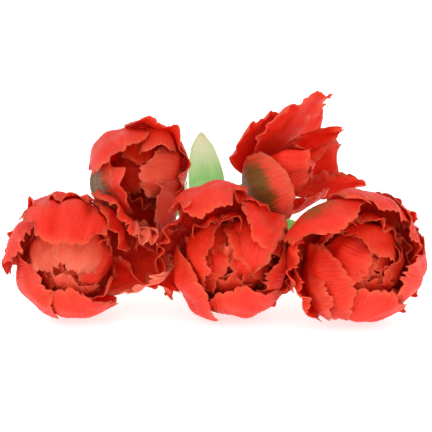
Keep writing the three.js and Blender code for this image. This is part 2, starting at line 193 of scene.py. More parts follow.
# The smaller petals that close the heart of a double flower, under and round its inner ones
HEART_RUFFLES = {
    "ruffle_1": dict(RUFFLE, az=15, radius=29),
    "ruffle_2": dict(RUFFLE, az=88, radius=28, end=-70),
    "ruffle_3": dict(RUFFLE, az=160, radius=29.5),
    "ruffle_4": dict(RUFFLE, az=232, radius=28.5, end=-66),
    "ruffle_5": dict(RUFFLE, az=305, radius=29, end=-72),
    "ruffle_6": dict(RUFFLE, az=340, radius=31.5, width=42, end=-58),
    "ruffle_7": dict(RUFFLE, az=270, radius=31, width=42, end=-64),
    "ruffle_8": dict(RUFFLE, az=200, radius=31.5, width=42, end=-56),
    "frill_1": dict(FRILL, az=-4, end=-20),
    "frill_2": dict(FRILL, az=62),
    "frill_3": dict(FRILL, az=118, end=-16),
    "frill_4": dict(FRILL, az=190, end=-24),
    "frill_5": dict(FRILL, az=238, end=-34),
    "frill_6": dict(FRILL, az=300, end=-30),
}

# The flowers. yaw turns the face to the right and rise lifts it; az runs anticlockwise from the
# right as the viewer sees it. slot is where the stem lies in the tied bundle. The rows under petals
# stand for solids of the same names, and those under ruffles are laid between and behind them.
PITCH = 2 * STEM_RADIUS + GAP
BUNDLE_X = -10
FLOOR_SLOT_Z = 4.5
UPPER_SLOT_Z = FLOOR_SLOT_Z + PITCH * math.sqrt(3) / 2
HEADS = {
    "left": dict(
        yaw=-4, rise=-2, joint="nod_left", slot=(BUNDLE_X - PITCH, FLOOR_SLOT_Z),
        petals={
            "outer_1": dict(OUTER, az=-13, radius=54.5, width=47, start=84, end=14, cup=10, tilt=42),
            "outer_2": dict(
                OUTER, az=36, start=76.5, cup=30, radius=37.5, width=37, end=-20, ruffle=2.6, frill=1.8,
            ),
            "outer_3": dict(OUTER, az=86, start=72.5, radius=43, end=-54, crease=2.2),
            "outer_4": dict(OUTER, az=150, radius=36, end=-40, strands=10, strand=6, tooth=1.4),
            "outer_5": dict(OUTER, az=212, radius=33, width=52, end=-74, strands=4),
            "outer_6": dict(OUTER, az=273, radius=33, width=54, end=-80, strands=2),
            "inner_1": dict(LOBED, az=56, tilt=11, radius=34, end=-64, painted_tip_light=0.9),
            "inner_2": dict(LOBED, az=126, radius=32.5, end=-64, painted_tip_light=0.8),
            "inner_3": dict(INNER, az=262, radius=31.5, width=42, end=-74, painted_tip_light=0.5),
        },
        ruffles={
            **HEART_RUFFLES,
            "frill_1": dict(FRILL, az=40, end=-10),
            "fringe_1": dict(FRINGE, az=158, radius=33),
            "fringe_2": dict(FRINGE, az=108),
            "fringe_4": dict(
                FRINGE, az=-20, radius=55.4, start=77.8, end=6.6, width=46, cup=53, tilt=45, taper=0,
                curl=-60, flame=0, ruffle=1.4, frill=1.2, painted_tip_light=1.3,
            ),
            "fringe_5": dict(FRINGE, az=40, radius=42),
        },
        leaf=dict(BLADE, side=(1, 0, -0.8), length=138, start=10, end=28),
    ),
    "middle": dict(
        yaw=0, rise=4, joint="turn_middle", slot=(BUNDLE_X, FLOOR_SLOT_Z),
        petals={
            "outer_1": dict(
                OUTER, az=-19, taper=0.2, tilt=6, width=49, radius=33, start=80.5, ruffle=1.7, end=-52.5,
                strands=8, strand=6, tooth=1.4,
            ),
            "outer_2": dict(OUTER, az=44, width=46.5, start=78.5, radius=36, end=-54),
            "outer_3": dict(OUTER, az=107, tilt=3.5, radius=51, width=53.5, end=-40),
            "outer_4": dict(OUTER, az=212, radius=33, end=-62, lobe_depth=1.2, tooth=0.8, frill=0.7),
            "outer_5": dict(OUTER, az=285, radius=33, width=54, end=-76),
            "inner_1": dict(INNER, az=169, radius=36, width=58, end=-50, tilt=-5, tooth=1.3),
            "inner_3": dict(INNER, az=35, radius=34, width=50, end=-60, tilt=-3, frill=1.4),
            "heart_1": dict(HEART, az=262, end=-83, painted_tip_light=0.4),
        },
        ruffles={
            **HEART_RUFFLES,
            "fold": dict(
                INNER, az=61.5, radius=27.8, start=84.8, end=-110, width=41.6, cup=34, tilt=-40, taper=0,
                curl=-60, tooth=1.3,
            ),
            "fringe_1": dict(FRINGE, az=-36, radius=33),
            "fringe_2": dict(FRINGE, az=76),
            "fringe_3": dict(FRINGE, az=184, radius=40, strands=3),
            "fringe_4": dict(FRINGE, az=156, radius=38, strands=3),
            "fringe_5": dict(FRINGE, az=-6, radius=35),
        },
        leaf=dict(BLADE, side=(1, 0, -0.5), start=8, end=26),
    ),
    "right": dict(
        yaw=14, rise=6, joint="nod_right", slot=(BUNDLE_X + PITCH, FLOOR_SLOT_Z),
        petals={
            "outer_1": dict(OUTER, az=-22, end=-70, strands=5),
            "outer_2": dict(OUTER, az=29.5, tilt=17, end=-40, strands=6, tooth=1.2),
            "outer_3": dict(
                OUTER, az=76, tilt=13, taper=0.3, start=79, radius=41, end=-36, strands=5, tooth=1.2,
            ),
            "outer_4": dict(OUTER, az=130, radius=45, width=54, end=-38, cup=46, tilt=16, flame=1.1),
            "outer_5": dict(OUTER, az=202, radius=32, width=54, end=-65),
            "outer_6": dict(OUTER, az=264, radius=32.5, width=54, end=-76),
            "inner_1": dict(INNER, az=66, width=50),
            "inner_2": dict(INNER, az=156, end=-64, tooth=1.1),
            "inner_3": dict(INNER, az=322, radius=31, end=-64),
        },
        ruffles={
            **HEART_RUFFLES,
            "fringe_1": dict(FRINGE, az=48),
            "fringe_2": dict(FRINGE, az=-48, radius=33),
            "fringe_3": dict(FRINGE, az=170, radius=44),
            "fringe_4": dict(FRINGE, az=202, radius=40),
            "fold": dict(
                OUTER, az=206, radius=34, start=82, end=-38, width=42, cup=30, tilt=14, taper=0.2,
                tooth=1.4, painted_tip_light=0.3,
            ),
        },
        leaf=dict(BLADE, side=(1, 0, -0.4), start=3, end=14),
    ),
    "upper_left": dict(
        yaw=8, rise=6, joint="nod_upper_left", slot=(BUNDLE_X - PITCH / 2, UPPER_SLOT_Z),
        petals={
            "outer_1": dict(LIPPED, az=-18, tilt=10, start=57, radius=38, end=-36, curl=20, flame=0.9),
            "outer_2": dict(LIPPED, az=64, start=56, cup=27, radius=46, curl=45, flame=0.9, ruffle=2.4),
            "outer_3": dict(
                LIPPED, az=133, tilt=15, radius=42, width=54, start=64, end=-46, curl=8, flame=0.3,
                frill=1.6,
            ),
            "outer_4": dict(
                LIPPED, az=201.5, cup=23.5, tilt=5.5, ruffle=2, radius=40, width=45.5, start=70, end=-74,
                curl=60, flame=1.8,
            ),
            "outer_5": dict(
                LIPPED, az=262, tilt=9, taper=0.2, radius=51, start=66, width=30.5, end=-54, curl=90,
                ruffle=3, waves=3.5, frill=2.2, painted_tip_light=0.9,
            ),
            "inner_1": dict(INNER, az=-8, painted_tip_light=0.6, radius=37, width=38, start=54, end=-76, tooth=1.6),
        },
        ruffles={
            "ruffle_1": dict(INNER, az=306, radius=48, width=26, start=56, end=-12, ruffle=2.4, flame=0.9),
            "ruffle_2": dict(INNER, az=250, radius=34, width=24, start=56, end=-20, ruffle=2.4),
            "ruffle_3": dict(RUFFLE, az=96, radius=30, width=32, end=-66, painted_tip_light=0),
            "strip": dict(
                LIPPED, az=310.7, radius=30.8, start=79, end=-89.7, width=48.3, cup=83, tilt=-32.5,
                taper=0.74, curl=44, ruffle=1, frill=1.5, painted_tip_light=0.7,
            ),
            "comb": dict(
                LIPPED, az=259.5, radius=42.6, start=77.8, end=-23, width=40.8, cup=30.5, tilt=20,
                taper=0.14, curl=-52, ruffle=2, frill=2.2, painted_tip_light=1, tooth=2,
            ),
            "brow": dict(
                LIPPED, az=73.5, radius=41.2, start=58.4, end=-62, width=32.4, cup=12, tilt=-14.7,
                taper=0.11, curl=65.6, ruffle=1, frill=1.2, painted_tip_light=0.3,
            ),
            "ruffle_4": dict(RUFFLE, az=190, radius=24, width=28, end=-84, painted_tip_light=0),
        },
        leaf=dict(BLADE, side=(1, 0, -0.3), start=6, end=22),
    ),
    "upper_right": dict(
        yaw=42, rise=22, joint="nod_upper_right", slot=(BUNDLE_X + PITCH / 2, UPPER_SLOT_Z),
        petals={
            "outer_1": dict(FLARED, az=-22, start=60, width=18, radius=86, taper=0.6, end=15, ruffle=2.6),
            "outer_2": dict(FLARED, az=31.5, radius=50, width=17, start=62, end=-19, cup=9, ruffle=2),
            "outer_3": dict(
                FLARED, ring=INNER_RING, az=86, radius=92, width=49.5, start=52, end=7.5, cup=70,
                taper=0.1, round=0.04, tilt=-12, ruffle=3, waves=1.8, crease=1, frill=1.6,
            ),
            "outer_4": dict(
                FLARED, az=108, radius=60, width=50, start=62, end=15, cup=60, taper=0.1, round=0.04,
                ruffle=2.4, flame=0.6,
            ),
            "outer_5": dict(
                OUTER, az=196, radius=32, width=50, start=70, end=-44, flame=2.2, lobe_depth=1, painted_tip_light=0.5,
            ),
            "inner_1": dict(OUTER, az=290, radius=30, width=34.5, start=66, end=-44),
            "inner_2": dict(
                INNER, az=156, cup=7, radius=37, width=40.5, start=54, end=-48, ruffle=2.4, frill=1.8,
            ),
        },
        ruffles={
            "ruffle_1": dict(RUFFLE, az=20, radius=24, width=26),
            "ruffle_2": dict(RUFFLE, az=200, radius=24, width=26),
            "canopy": dict(
                FLARED, az=33.7, radius=105, start=92, end=52, width=53, cup=64, tilt=-40, taper=0.93,
                curl=43, crease=1, frill=1.4, ruffle=1,
            ),
            "point": dict(
                FLARED, az=12.7, radius=41, start=79.7, end=-1.6, width=62, cup=14, tilt=-40, taper=0.95,
                curl=85, ruffle=1, frill=1,
            ),
        },
        leaf=dict(BLADE, side=(-0.15, 0, 1), back=165, length=116, width=30, start=12, end=40),
    ),
}


def smooth(low, high, x):
    """A soft step from 0 at low to 1 at high, which may also be the lesser of the two."""
    t = np.clip((x - low) / (high - low), 0, 1)
    return t * t * (3 - 2 * t)


def mix(a, b, t):
    return a + (b - a) * t


# Sheets

def midline(row):
    """The length, and along it the share, distance from the axis, height and angle of the middle line."""
    length = row.get("length") or row["radius"] * math.radians(row["start"] - row["end"])
    s = np.linspace(0, 1, LINE_STEPS + 1)
    angle = np.radians(mix(row["start"], row["end"], s) + row["curl"] * smooth(CURL_START, 1, s))
    ring_radius, height = row["ring"]
    step = length / LINE_STEPS
    first = ring_radius + GAP + row["clear"] * math.cos(math.radians(row["start"]))
    r = first + step * np.concatenate(([0], np.cumsum(np.sin(angle[:-1]))))
    z = height + step * np.concatenate(([0], np.cumsum(np.cos(angle[:-1]))))
    return length, s, r, z, angle


def jagged(t, rng, width, depth, sharpness):
    """How far an irregular row of lobes or teeth stands out along t, with notches between them."""
    widths = width * rng.uniform(*NOTCH_WIDTHS, NOTCHES)
    notches = np.concatenate(([0], np.cumsum(widths))) - widths.sum() / 2
    depths = depth * rng.uniform(*NOTCH_DEPTHS, NOTCHES)
    k = np.clip(np.searchsorted(notches, t) - 1, 0, NOTCHES - 1)
    local = (t - notches[k]) / widths[k]
    return depths[k] * (1 - np.abs(2 * local - 1) ** sharpness)


def strands(t, rng, count, reach, span):
    """A few long thin threads of the margin."""
    out = np.zeros_like(t)
    for place in rng.uniform(-span, span, count):
        long = reach * rng.uniform(*STRAND_LENGTHS)
        wide = rng.uniform(*STRAND_WIDTHS)
        out = np.maximum(out, long * np.clip(1 - np.abs(t - place) / wide, 0, 1))
    return out


def margin(t, row, rng, span):
    """How far the margin stands out along t, with its lobes, teeth and strands."""
    out = jagged(t, rng, row["lobe"], row["lobe_depth"], LOBE_SHARPNESS)
    out -= LOBE_SETBACK * row["lobe_depth"]
    out += jagged(t, rng, TOOTH_WIDTH, row["tooth"], TOOTH_SHARPNESS)
    if row["strands"]:
        out += strands(t, rng, row["strands"], row["strand"], span)
    return out


def sheet_grid(row, length):
    """The points of a sheet: u from 0 at its foot to 1 at its tip, and v from -1 to 1 across it."""
    claw_rows = int(length * CLAW_SHARE / (CLAW_CELLS * CELL))
    free_rows = int(length * (1 - CLAW_SHARE) / CELL)
    claw = np.linspace(0, CLAW_SHARE, claw_rows, endpoint=False)
    free = np.linspace(CLAW_SHARE, 1, free_rows)
    columns = 2 * int(row["width"] / 2 / CELL) + 1
    return np.meshgrid(np.concatenate((claw, free)), np.linspace(-1, 1, columns), indexing="ij")


def sheet_outline(row, rng, length, u, v):
    """The share of the length that each point's column reaches, and half the width there, both ragged."""
    top = margin(v * row["width"] / 2, row, rng, row["width"] * TIP_SPAN)
    reach = 1 - row["round"] * np.abs(v) ** row["point"] + top / length * smooth(0.55, 1, u)
    s = u * reach
    swell = row["claw"] + (1 - row["claw"]) * np.sin(math.pi / 2 * np.minimum(1, s / row["belly"]))
    late = np.maximum(0, (s - row["belly"]) / (1 - row["belly"]))
    half = row["width"] / 2 * swell * (1 - row["taper"] * late**2)
    one_side = margin(s * length, row, rng, length * SIDE_SPAN)
    other_side = margin(s * length, row, rng, length * SIDE_SPAN)
    ragged = np.where(v < 0, one_side, other_side)
    return reach, half + ragged * smooth(0.6, 1, np.abs(v)) * smooth(0.25, 0.5, s)


def edge_field(length, u, v, reach, half):
    """1 along the margin, falling off inwards."""
    to_tip = (1 - u) * reach * length
    to_side = (1 - np.abs(v)) * half
    to_margin = -EDGE_BLEND * np.log(np.exp(-to_tip / EDGE_BLEND) + np.exp(-to_side / EDGE_BLEND))
    return np.exp(-np.maximum(to_margin, 0) / EDGE_REACH)


def relief(row, rng, length, u, v, s, edge):
    """Heights over the plain cup, one layer after the other."""
    out = v * row["width"] / 2
    tip_wave = u**TIP_WAVE_POWER * np.sin(math.pi * row["waves"] * v)
    turns = 2 * math.pi * row["waves"] * SIDE_WAVE_PITCH * u
    side_wave = np.abs(v) ** SIDE_WAVE_POWER * u * np.sin(turns + v)
    around = np.arctan2(out, (u - 0.5) * length)
    frill = np.zeros_like(u)
    for waves in FRILL_WAVES:
        wave = np.sin(waves * around + rng.uniform(*PHASES))
        frill += wave * FRILL_WAVES[0] / waves * rng.uniform(*FRILL_HEIGHTS)
    dent = np.zeros_like(u)
    for size in DENT_SIZES:
        way = rng.uniform(0, math.pi)
        phase = rng.uniform(*PHASES)
        run = s * length * math.cos(way) + out * math.sin(way)
        dent += np.sin(2 * math.pi * run / size + phase) * size / DENT_SIZES[0]
    rib = np.sin(out * 2 * math.pi / RIB_PITCH + 3 * np.sin(s * 4 + row["seed"]))
    crease = sum(np.exp(-(((v - place) * row["width"] / narrow) ** 2)) for place, narrow in CREASES)
    return (
        row["ruffle"] * (tip_wave + SIDE_WAVE_SHARE * side_wave),
        smooth(0.25, 0.6, s) * (row["frill"] * edge**2 * frill + row["dent"] * dent * (1 - edge)),
        RIB_HEIGHT * rib * smooth(0.2, 0.5, s) - row["roll"] * edge**3,
        row["crease"] * CREASE_DEPTH * crease * smooth(0.3, 0.5, s) * smooth(1, 0.85, s),
        -row["puff"] * PUFF_DEPTH * (1 - v**2) * smooth(0.5, 0.8, s) * smooth(1.05, 0.85, s),
    )


def sheet_points(row):
    """The middle surface of a petal or leaf as rows x columns x 3, and fields over it."""
    rng = np.random.default_rng(row["seed"])
    length, line_s, line_r, line_z, line_a = midline(row)
    u, v = sheet_grid(row, length)
    reach, half = sheet_outline(row, rng, length, u, v)
    s = u * reach
    edge = edge_field(length, u, v, reach, half)

    beyond = np.maximum(s - 1, 0) * length
    at = np.minimum(s, 1)
    angle = np.interp(at, line_s, line_a)
    r = np.interp(at, line_s, line_r) + beyond * np.sin(angle)
    z = np.interp(at, line_s, line_z) + beyond * np.cos(angle)
    middle = np.stack((r, np.zeros_like(r), z), axis=-1)

    tilt = math.radians(row["tilt"])
    inward = np.stack((-np.cos(angle), np.zeros_like(angle), np.sin(angle)), axis=-1)
    sideways = np.array((0, 1, 0))
    across = sideways * math.cos(tilt) - inward * math.sin(tilt)
    normal = inward * math.cos(tilt) + sideways * math.sin(tilt)
    cup = mix(row["cup_start"], row["cup"], smooth(0, CUP_FORMED, s))
    bend = v * half / cup
    rise = sum(relief(row, rng, length, u, v, s, edge), cup * (1 - np.cos(bend)))
    points = middle + across * (cup * np.sin(bend))[..., None] + normal * rise[..., None]
    fields = {"along": s, "across": v * row["width"] / 2, "edge": edge, "share": v}
    return points, fields


def sheet_part(points, thickness, fields):
    """A closed sheet of that thickness round a grid of points: vertices, quads and fields."""
    rows, columns = points.shape[:2]
    normal = np.cross(np.gradient(points, axis=0), np.gradient(points, axis=1))
    normal /= np.maximum(np.linalg.norm(normal, axis=-1, keepdims=True), 1e-9)
    offset = normal * thickness[..., None] / 2
    vertices = np.concatenate(((points + offset).reshape(-1, 3), (points - offset).reshape(-1, 3)))
    count = rows * columns
    a = (np.arange(rows - 1)[:, None] * columns + np.arange(columns - 1)).ravel()
    front = np.stack((a, a + columns, a + columns + 1, a + 1), axis=1)
    back = front[:, ::-1] + count
    rim = np.concatenate((
        np.arange(columns - 1),
        np.arange(rows - 1) * columns + columns - 1,
        (rows - 1) * columns + np.arange(columns - 1, 0, -1),
        np.arange(rows - 1, 0, -1) * columns,
    ))
    ahead = np.roll(rim, -1)
    band = np.stack((rim, ahead, ahead + count, rim + count), axis=1)
    values = {field: np.tile(grid.ravel(), 2) for field, grid in fields.items()}
    values["outside"] = np.repeat((0.0, 1.0), count)
    return vertices, np.concatenate((front, back, band)), values


def ring_part(rings, looped=False, **fields):
    """A skin over rings of points, each ring closed; looped joins the last ring to the first."""
    rows, sides = rings.shape[:2]
    spans = rows if looped else rows - 1
    row, side = np.meshgrid(np.arange(spans), np.arange(sides), indexing="ij")
    after = (row + 1) % rows
    beside = (side + 1) % sides
    row_start, after_start = row * sides, after * sides
    corners = (row_start + side, row_start + beside, after_start + beside, after_start + side)
    quads = np.stack(corners, axis=-1)
    values = {field: np.broadcast_to(grid, (rows, sides)).ravel() for field, grid in fields.items()}
    return rings.reshape(-1, 3), quads.reshape(-1, 4), values


def joined(name, parts, matrix):
    """One piece from parts of vertices in millimetres, quads and fields, placed by the matrix."""
    first = np.cumsum([0] + [len(vertices) for vertices, _, _ in parts])
    quads = np.concatenate([faces + start for (_, faces, _), start in zip(parts, first)])
    piece = mesh_piece(name, np.concatenate([vertices for vertices, _, _ in parts]) * MM, quads)
    for field in sorted({field for _, _, values in parts for field in values}):
        grids = [values.get(field, np.zeros(len(vertices))) for vertices, _, values in parts]
        write_field(piece, field, np.concatenate(grids))
    piece.data.transform(matrix)
    return piece


def line_frame(points):
    """Unit side and up directions across a line that never runs upright."""
    ahead = np.gradient(points, axis=0)
    ahead /= np.linalg.norm(ahead, axis=1, keepdims=True)
    side = np.cross(ahead, (0, 0, 1))
    side /= np.linalg.norm(side, axis=1, keepdims=True)
    return side, np.cross(side, ahead), ahead


def circle_rings(points, side, up, radius, sides):
    """Rings of that radius, one number or a grid, round each point."""
    turn = np.linspace(0, 2 * math.pi, sides, endpoint=False)
    out = side[:, None] * np.cos(turn)[:, None] + up[:, None] * np.sin(turn)[:, None]
    return points[:, None] + out * np.broadcast_to(radius, (len(points), sides))[..., None]


def mesh_piece(name, vertices, quads):
    """A smooth mesh of quads, its open ends capped and its faces turned outwards."""
    mesh = bpy.data.meshes.new(name)
    mesh.vertices.add(len(vertices))
    mesh.vertices.foreach_set("co", np.asarray(vertices, np.float32).ravel())
    mesh.loops.add(quads.size)
    mesh.loops.foreach_set("vertex_index", quads.astype(np.int32).ravel())
    mesh.polygons.add(len(quads))
    mesh.polygons.foreach_set("loop_start", np.arange(0, quads.size, quads.shape[1], dtype=np.int32))
    mesh.polygons.foreach_set("use_smooth", np.ones(len(quads), bool))
    mesh.update(calc_edges=True)
    mesh.validate()
    shape = bmesh.new()
    shape.from_mesh(mesh)
    open_edges = [edge for edge in shape.edges if edge.is_boundary]
    if open_edges:
        bmesh.ops.holes_fill(shape, edges=open_edges)
    bmesh.ops.recalc_face_normals(shape, faces=shape.faces)
    shape.to_mesh(mesh)
    shape.free()
    piece = bpy.data.objects.new(name, mesh)
    bpy.context.scene.collection.objects.link(piece)
    return piece


def write_field(piece, field, values):
    attribute = piece.data.attributes.new(field, "FLOAT", "POINT")
    attribute.data.foreach_set("value", np.asarray(values, np.float32))


# Materials

def linear(red, green, blue):
    """A colour of 0 to 255 as the shader wants it."""
    channels = [c / 255 for c in (red, green, blue)]
    return tuple(c / 12.92 if c <= 0.04045 else ((c + 0.055) / 1.055) ** 2.4 for c in channels) + (1,)


PETAL_RED = linear(250, 28, 10)
PETAL_SCARLET = linear(254, 46, 16)
PETAL_BLOTCH = linear(255, 70, 32)
PETAL_RIM_HIGHLIGHT = linear(255, 104, 66)
PETAL_TIP_HIGHLIGHT = linear(255, 134, 102)
PETAL_CLAW = linear(246, 22, 12)
FLAME_OLIVE = linear(92, 86, 22)
FLAME_OCHRE = linear(152, 88, 36)
LEAF_GREEN = linear(104, 190, 64)
LEAF_LIGHT = linear(150, 216, 104)
LEAF_BLOOM = linear(206, 228, 190)
LEAF_TIP = linear(248, 250, 222)
LEAF_FOOT = linear(176, 206, 128)
LEAF_EDGE = linear(206, 220, 150)
STEM_GREEN = linear(88, 148, 54)
STEM_LIGHT = linear(128, 182, 84)
STEM_END = linear(196, 214, 150)
STEM_BLOTCH = linear(160, 176, 92)
CORE_DARK = linear(64, 14, 12)
CORE_RED = linear(104, 30, 22)
WIRE_GREY = linear(150, 152, 154)
WIRE_LIGHT = linear(196, 198, 200)
BAND_BROWN = linear(196, 158, 108)
BAND_LIGHT = linear(224, 190, 142)
FLOOR_GREY = (0.8, 0.8, 0.8, 1)
FLOOR_LIGHT = (0.83, 0.83, 0.83, 1)
WHITE = (1, 1, 1, 1)


class Surface:
    """A material's nodes, each call adding one and giving its output."""

    def __init__(self, name, roughness, **constants):
        self.material = bpy.data.materials.new(name)
        self.material.use_nodes = True
        self.tree = self.material.node_tree
        self.shader = self.tree.nodes["Principled BSDF"]
        self.shader.inputs["Roughness"].default_value = roughness
        for socket, value in constants.items():
            self.shader.inputs[socket.replace("_", " ")].default_value = value

    def node(self, kind, **inputs):
        node = self.tree.nodes.new(kind)
        for socket, value in inputs.items():
            self.put(node.inputs[socket.replace("_", " ")], value)
        return node

    def put(self, socket, value):
        if isinstance(value, bpy.types.NodeSocket):
            self.tree.links.new(value, socket)
        else:
            socket.default_value = value

    def field(self, name):
        node = self.node("ShaderNodeAttribute")
        node.attribute_name = name
        return node.outputs["Fac"]

    def math(self, operation, *values):
        node = self.node("ShaderNodeMath")
        node.operation = operation
        for socket, value in zip(node.inputs, values):
            self.put(socket, value)
        return node.outputs[0]

    def times(self, a, b):
        return self.math("MULTIPLY", a, b)

    def plus(self, a, b):
        return self.math("ADD", a, b)

    def ramp(self, value, low, high, to_low=0.0, to_high=1.0):
        node = self.node("ShaderNodeMapRange")
        node.interpolation_type = "SMOOTHSTEP"
        for socket, number in zip(node.inputs, (value, low, high, to_low, to_high)):
            self.put(socket, number)
        return node.outputs[0]

    def vector(self, x, y, z):
        return self.node("ShaderNodeCombineXYZ", X=x, Y=y, Z=z).outputs[0]

    def noise(self, vector, scale, detail=3.0, rough=0.55):
        node = self.node("ShaderNodeTexNoise", Vector=vector, Scale=scale, Detail=detail, Roughness=rough)
        return node.outputs[0]

    def place(self):
        return self.node("ShaderNodeTexCoord").outputs["Object"]

    def mix(self, share, a, b):
        node = self.node("ShaderNodeMix")
        node.data_type = "RGBA"
        self.put(node.inputs["Factor"], share)
        colours = [socket for socket in node.inputs if socket.type == "RGBA"]
        self.put(colours[0], a)
        self.put(colours[1], b)
        return next(socket for socket in node.outputs if socket.type == "RGBA")

    def colour(self, value):
        self.put(self.shader.inputs["Base Color"], value)

    def rough(self, value):
        self.put(self.shader.inputs["Roughness"], value)

    def let_through(self, colour, share):
        """Mix in light that comes through a thin sheet from its other side."""
        through = self.node("ShaderNodeBsdfTranslucent", Color=colour)
        both = self.node("ShaderNodeMixShader", Fac=share)
        self.put(both.inputs[1], self.shader.outputs[0])
        self.put(both.inputs[2], through.outputs[0])
        self.put(self.tree.nodes["Material Output"].inputs["Surface"], both.outputs[0])

    def bump(self, height, distance, strength=1.0):
        node = self.node("ShaderNodeBump", Height=height, Distance=distance, Strength=strength)
        self.put(self.shader.inputs["Normal"], node.outputs[0])


def petal_surface():
    """Waxy red with fine veins along the petal, a painted highlight along the margins and towards the tip,
    a deeper claw and olive flames.
    """
    m = Surface("petal", 0.46, Subsurface_Weight=0.4, Subsurface_Scale=0.0025, Specular_IOR_Level=0.34)
    m.shader.inputs["Subsurface Radius"].default_value = (1.0, 0.16, 0.09)
    along = m.field("along")
    across = m.field("across")
    edge = m.field("edge")
    tone = m.field("tone")
    veins = m.noise(m.vector(m.times(across, 1.5), m.times(along, 3.0), tone), 1.0, 4.0, 0.6)
    fine = m.noise(m.vector(m.times(across, 4.5), m.times(along, 9.0), tone), 1.0, 3.0)
    blotch = m.noise(m.place(), 60.0, 2.0)
    red = m.mix(m.ramp(veins, 0.3, 0.7), PETAL_RED, PETAL_SCARLET)
    red = m.mix(m.ramp(blotch, 0.35, 0.7, 0.0, 0.4), red, PETAL_BLOTCH)
    # Painted highlight along the margins.
    rim = m.times(m.ramp(edge, 0.4, 1.0), m.ramp(fine, 0.3, 0.7, 0.3, 0.85))
    red = m.mix(rim, red, PETAL_RIM_HIGHLIGHT)
    # Painted highlight towards the tip, set per petal by pale, which lightens petals that lie in shade.
    bloom = m.times(m.field("bloom"), m.ramp(fine, 0.3, 0.68, 0.25, 1.0))
    red = m.mix(bloom, red, PETAL_TIP_HIGHLIGHT)
    red = m.mix(m.ramp(along, 0.4, 0.05, 0.0, 0.7), red, PETAL_CLAW)
    streaks = m.plus(m.times(m.ramp(veins, 0.3, 0.7), 0.6), m.times(m.ramp(fine, 0.3, 0.7), 0.5))
    feather = m.plus(m.field("feather"), streaks)
    flame = m.times(m.ramp(feather, 0.85, 1.75), m.field("outside"))
    olive = m.mix(m.ramp(fine, 0.35, 0.65), FLAME_OLIVE, FLAME_OCHRE)
    colour = m.mix(flame, red, olive)
    m.colour(colour)
    m.let_through(colour, 0.2)
    m.rough(m.ramp(veins, 0.2, 0.8, 0.5, 0.36))
    m.bump(m.plus(m.times(veins, 0.7), m.times(fine, 0.35)), 0.0015, 0.95)
    return m.material


def leaf_surface():
    """Green with long veins and a pale bloom, paler at the tip, the foot and the edge."""
    m = Surface("leaf", 0.5, Subsurface_Weight=0.1, Subsurface_Scale=0.0012, Specular_IOR_Level=0.4)
    m.shader.inputs["Subsurface Radius"].default_value = (0.4, 1.0, 0.3)
    across = m.field("across")
    along = m.field("along")
    veins = m.noise(m.vector(m.times(across, 1.4), m.times(along, 2.5), m.field("tone")), 1.0, 4.0)
    green = m.mix(m.ramp(veins, 0.3, 0.7), LEAF_GREEN, LEAF_LIGHT)
    bloom = m.noise(m.place(), 45.0, 3.0)
    green = m.mix(m.ramp(bloom, 0.4, 0.75, 0.0, 0.5), green, LEAF_BLOOM)
    green = m.mix(m.ramp(along, 0.35, 0.95, 0.0, 0.85), green, LEAF_TIP)
    green = m.mix(m.ramp(along, 0.22, 0.0), green, LEAF_FOOT)
    green = m.mix(m.ramp(m.field("edge"), 0.6, 1.0, 0.0, 0.5), green, LEAF_EDGE)
    m.colour(green)
    m.bump(veins, 0.0009, 0.7)
    return m.material


def stem_surface():
    """Green with fine streaks, paler towards the cut end."""
    m = Surface("stem", 0.45, Subsurface_Weight=0.1, Subsurface_Scale=0.001, Specular_IOR_Level=0.4)
    along = m.field("along")
    around = m.field("around")
    streaks = m.noise(m.vector(m.times(around, 3.0), m.times(along, 14.0), 0.0), 1.0, 4.0)
    green = m.mix(m.ramp(streaks, 0.3, 0.7), STEM_GREEN, STEM_LIGHT)
    green = m.mix(m.ramp(along, 0.55, 1.0), green, STEM_END)
    blotch = m.noise(m.place(), 90.0, 3.0)
    green = m.mix(m.ramp(blotch, 0.5, 0.8, 0.0, 0.4), green, STEM_BLOTCH)
    m.colour(green)
    m.bump(streaks, 0.0005, 0.6)
    return m.material


def core_surface():
    """Dark red with a fine grain."""
    m = Surface("core", 0.6, Specular_IOR_Level=0.3)
    grain = m.noise(m.place(), 700.0, 3.0)
    m.colour(m.mix(m.ramp(grain, 0.35, 0.65), CORE_DARK, CORE_RED))
    m.bump(grain, 0.0004, 0.8)
    return m.material


def wire_surface():
    """Drawn steel."""
    m = Surface("wire", 0.35, Metallic=1.0)
    drawn = m.noise(m.place(), 900.0, 3.0)
    m.colour(m.mix(m.ramp(drawn, 0.3, 0.7), WIRE_GREY, WIRE_LIGHT))
    m.rough(m.ramp(drawn, 0.3, 0.7, 0.3, 0.48))
    m.bump(drawn, 0.0001, 0.5)
    return m.material


def band_surface():
    """Tan rubber."""
    m = Surface("band", 0.62, Subsurface_Weight=0.15, Subsurface_Scale=0.001, Specular_IOR_Level=0.35)
    grain = m.noise(m.place(), 420.0, 4.0)
    m.colour(m.mix(m.ramp(grain, 0.3, 0.7), BAND_BROWN, BAND_LIGHT))
    m.bump(grain, 0.0003, 0.7)
    return m.material


def floor_surface():
    """White wherever the lamps reach it, with the bunch's own soft shadow."""
    m = Surface("floor", 0.9, Specular_IOR_Level=0.0)
    weave = m.noise(m.place(), 4.0, 2.0)
    m.colour(m.mix(weave, FLOOR_GREY, FLOOR_LIGHT))
    m.shader.inputs["Emission Color"].default_value = WHITE
    m.shader.inputs["Emission Strength"].default_value = FLOOR_GLOW
    return m.material


petal_material = petal_surface()
leaf_material = leaf_surface()
stem_material = stem_surface()
core_material = core_surface()
band_material = band_surface()
wire_material = wire_surface()


def dress(piece, material, body, slot, *nodes):
    """Give a piece its material, the body it rides on and the solids that it stands for. slot is not used.
    """
    piece.data.materials.append(material)
    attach(piece, body)
    if nodes:
        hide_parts(*nodes)


# Flowers

